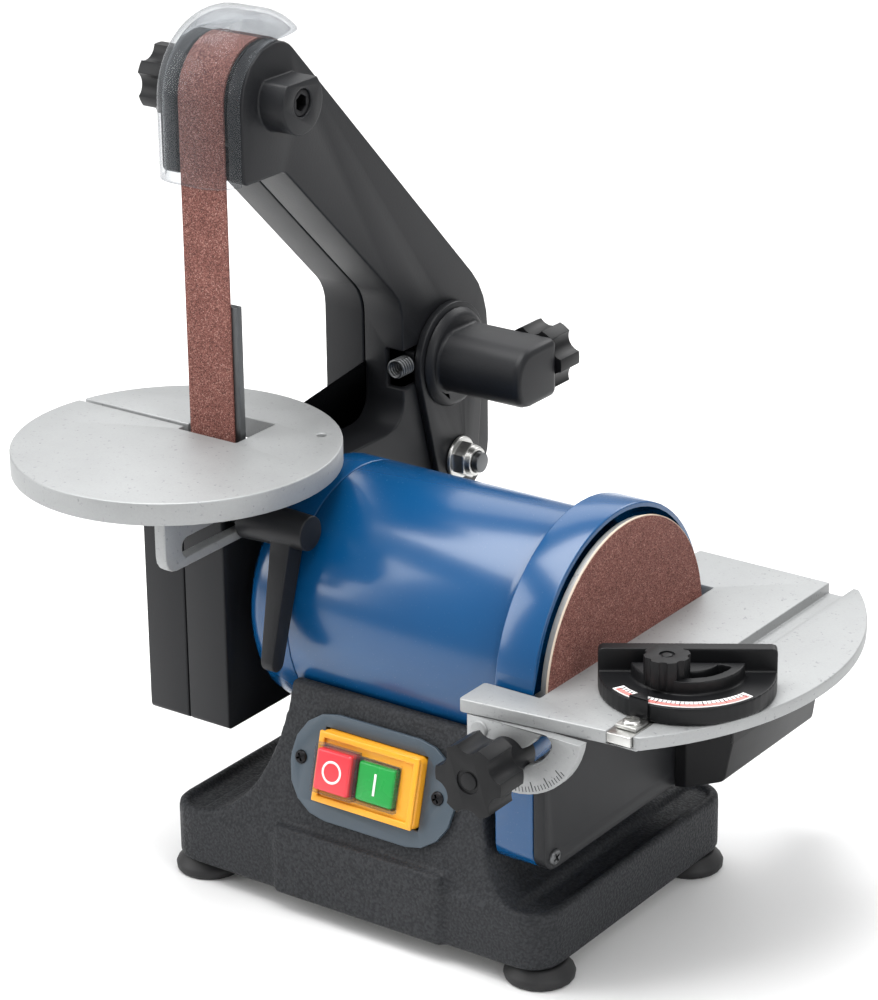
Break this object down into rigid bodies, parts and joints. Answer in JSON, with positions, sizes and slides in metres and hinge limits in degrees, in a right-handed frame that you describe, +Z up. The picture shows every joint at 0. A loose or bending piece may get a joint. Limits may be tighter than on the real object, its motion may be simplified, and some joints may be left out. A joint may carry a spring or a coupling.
{
  "type": "bench belt and disc sander",
  "caption": "Bench sander with a narrow upright belt on a cast arm at one end of its motor and a guarded abrasive disc at the other, each with a tilting work table, on a textured base",
  "frame": {"origin": "Middle of the bounding box's bottom, on the surface that the rubber feet stand on", "axes": "X runs along the motor's axis from the belt end to the disc end, Y from the front with the switch to the back, Z up"},
  "size_m": [0.37, 0.2814, 0.396],
  "materials": {
    "textured_black": "Coarse textured black paint",
    "satin_black": "Fine satin black paint",
    "blue_paint": "Gloss blue paint",
    "cast_aluminium": "Sand-cast grey with machined faces",
    "zinc_steel": "Zinc-plated steel",
    "winding": "Varnished winding and laminations",
    "black_plastic": "Moulded black plastic",
    "grey_plate": "Satin blue-grey plate",
    "yellow_plastic": "Yellow moulded plastic",
    "red_plastic": "Red moulded plastic",
    "green_plastic": "Green moulded plastic",
    "clear_plastic": "Clear moulded plastic",
    "abrasive": "Red-brown abrasive grit on cloth",
    "rubber": "Black rubber"
  },
  "bodies": {
    "frame": {"base_casting": "textured_black", "bottom_plate": "zinc_steel", "foot_front_left": "rubber", "foot_front_right": "rubber", "foot_rear_left": "rubber", "foot_rear_right": "rubber", "capacitor": "black_plastic", "cord_gland": "rubber", "switch_plate": "grey_plate", "switch_body": "yellow_plastic", "plate_screw_left": "zinc_steel", "plate_screw_right": "zinc_steel", "motor_housing": "blue_paint", "motor_end_bell": "blue_paint", "stator": "winding", "bearing_left": "zinc_steel", "bearing_right": "zinc_steel", "belt_arm": "satin_black", "top_axle": "zinc_steel", "platen": "zinc_steel", "platen_screw": "zinc_steel", "sanding_belt": "abrasive", "belt_guard": "clear_plastic", "pivot_bolt": "zinc_steel", "pivot_nut": "zinc_steel", "disc_guard": "blue_paint", "disc_lower_housing": "blue_paint", "disc_lower_cover": "satin_black", "cover_screw": "zinc_steel", "dust_port": "black_plastic", "trunnion_bolt_rear": "zinc_steel"},
    "rotor": {"rotor_shaft": "zinc_steel", "drive_wheel": "cast_aluminium", "disc_plate": "cast_aluminium", "abrasive_disc": "abrasive"},
    "top_wheel": {"top_wheel": "black_plastic"},
    "tension_arm": {"tension_lever": "satin_black", "tension_housing": "satin_black", "tension_axle": "zinc_steel", "tension_spring": "zinc_steel"},
    "tension_wheel": {"tension_wheel": "black_plastic"},
    "tracking_knob": {"tracking_knob": "black_plastic"},
    "side_cover": {"side_cover": "satin_black"},
    "cover_knob": {"cover_knob": "black_plastic"},
    "table_bolt": {"clamp_screw": "zinc_steel"},
    "belt_table": {"belt_table": "cast_aluminium", "belt_table_bracket": "cast_aluminium"},
    "clamp_lever": {"clamp_lever": "black_plastic"},
    "disc_table": {"disc_table": "cast_aluminium", "front_trunnion": "cast_aluminium", "rear_trunnion": "cast_aluminium"},
    "trunnion_knob_front": {"trunnion_knob_front": "black_plastic"},
    "mitre_bar": {"mitre_bar": "zinc_steel", "mitre_pointer": "zinc_steel", "mitre_screw": "zinc_steel"},
    "mitre_head": {"mitre_head": "black_plastic"},
    "mitre_knob": {"mitre_knob": "black_plastic"},
    "stop_button": {"stop_button": "red_plastic"},
    "start_button": {"start_button": "green_plastic"}
  },
  "joints": [
    {"name": "motor_spin", "type": "hinge", "parent": "frame", "child": "rotor", "pos_m": [-0.0036, -0.00935, 0.131], "axis": [1, 0, 0], "continuous": true},
    {"name": "top_wheel_spin", "type": "hinge", "parent": "frame", "child": "top_wheel", "pos_m": [-0.1051, -0.02135, 0.358], "axis": [1, 0, 0], "continuous": true},
    {"name": "tension_lever_swing", "type": "hinge", "parent": "frame", "child": "tension_arm", "pos_m": [-0.0796, 0.10665, 0.15], "axis": [1, 0, 0], "range_deg": [0, 5], "stiffness_Nm_per_rad": 5, "springref_deg": -20.05},
    {"name": "tension_wheel_spin", "type": "hinge", "parent": "tension_arm", "child": "tension_wheel", "pos_m": [-0.1051, 0.11115, 0.2045], "axis": [1, 0, 0], "continuous": true},
    {"name": "tracking_knob_turn", "type": "hinge", "parent": "tension_arm", "child": "tracking_knob", "pos_m": [-0.0416, 0.13065, 0.204], "axis": [0, 1, 0], "range_deg": [-180, 180]},
    {"name": "side_cover_slide", "type": "slide", "parent": "frame", "child": "side_cover", "axis": [-1, 0, 0], "range_m": [0, 0.05]},
    {"name": "cover_knob_turn", "type": "hinge", "parent": "side_cover", "child": "cover_knob", "pos_m": [-0.1436, -0.02135, 0.358], "axis": [1, 0, 0], "range_deg": [-180, 180]},
    {"name": "belt_table_tilt", "type": "hinge", "parent": "frame", "child": "table_bolt", "pos_m": [-0.0736, -0.06135, 0.176], "axis": [1, 0, 0], "range_deg": [0, 22]},
    {"name": "belt_table_slide", "type": "slide", "parent": "table_bolt", "child": "belt_table", "axis": [0, -1, 0], "range_m": [-0.003, 0.003]},
    {"name": "clamp_lever_turn", "type": "hinge", "parent": "frame", "child": "clamp_lever", "pos_m": [-0.0536, -0.06135, 0.176], "axis": [1, 0, 0], "range_deg": [-60, 0]},
    {"name": "disc_table_tilt", "type": "hinge", "parent": "frame", "child": "disc_table", "pos_m": [0.0914, -0.00935, 0.137], "axis": [0, 1, 0], "range_deg": [0, 45]},
    {"name": "trunnion_knob_front_turn", "type": "hinge", "parent": "frame", "child": "trunnion_knob_front", "pos_m": [0.0904, -0.11935, 0.118], "axis": [0, 1, 0], "range_deg": [-180, 180]},
    {"name": "mitre_slide", "type": "slide", "parent": "disc_table", "child": "mitre_bar", "axis": [0, 1, 0], "range_m": [-0.03, 0.09]},
    {"name": "mitre_swivel", "type": "hinge", "parent": "mitre_bar", "child": "mitre_head", "pos_m": [0.1404, -0.03755, 0.14], "axis": [0, 0, 1], "range_deg": [-85, 15]},
    {"name": "mitre_knob_turn", "type": "hinge", "parent": "mitre_bar", "child": "mitre_knob", "pos_m": [0.1404, -0.05435, 0.155], "axis": [0, 0, 1], "range_deg": [-180, 180]},
    {"name": "stop_button_press", "type": "slide", "parent": "frame", "child": "stop_button", "axis": [0, 0.9667, -0.2559], "range_m": [0, 0.003], "stiffness_N_per_m": 400, "springref_m": -0.001},
    {"name": "start_button_press", "type": "slide", "parent": "frame", "child": "start_button", "axis": [0, 0.9667, -0.2559], "range_m": [0, 0.003], "stiffness_N_per_m": 400, "springref_m": -0.001}
  ],
  "couplings": [
    {"joint": "top_wheel_spin", "follows": "motor_spin", "ratio": 1.4706},
    {"joint": "tension_wheel_spin", "follows": "motor_spin", "ratio": 1.5625}
  ]
}
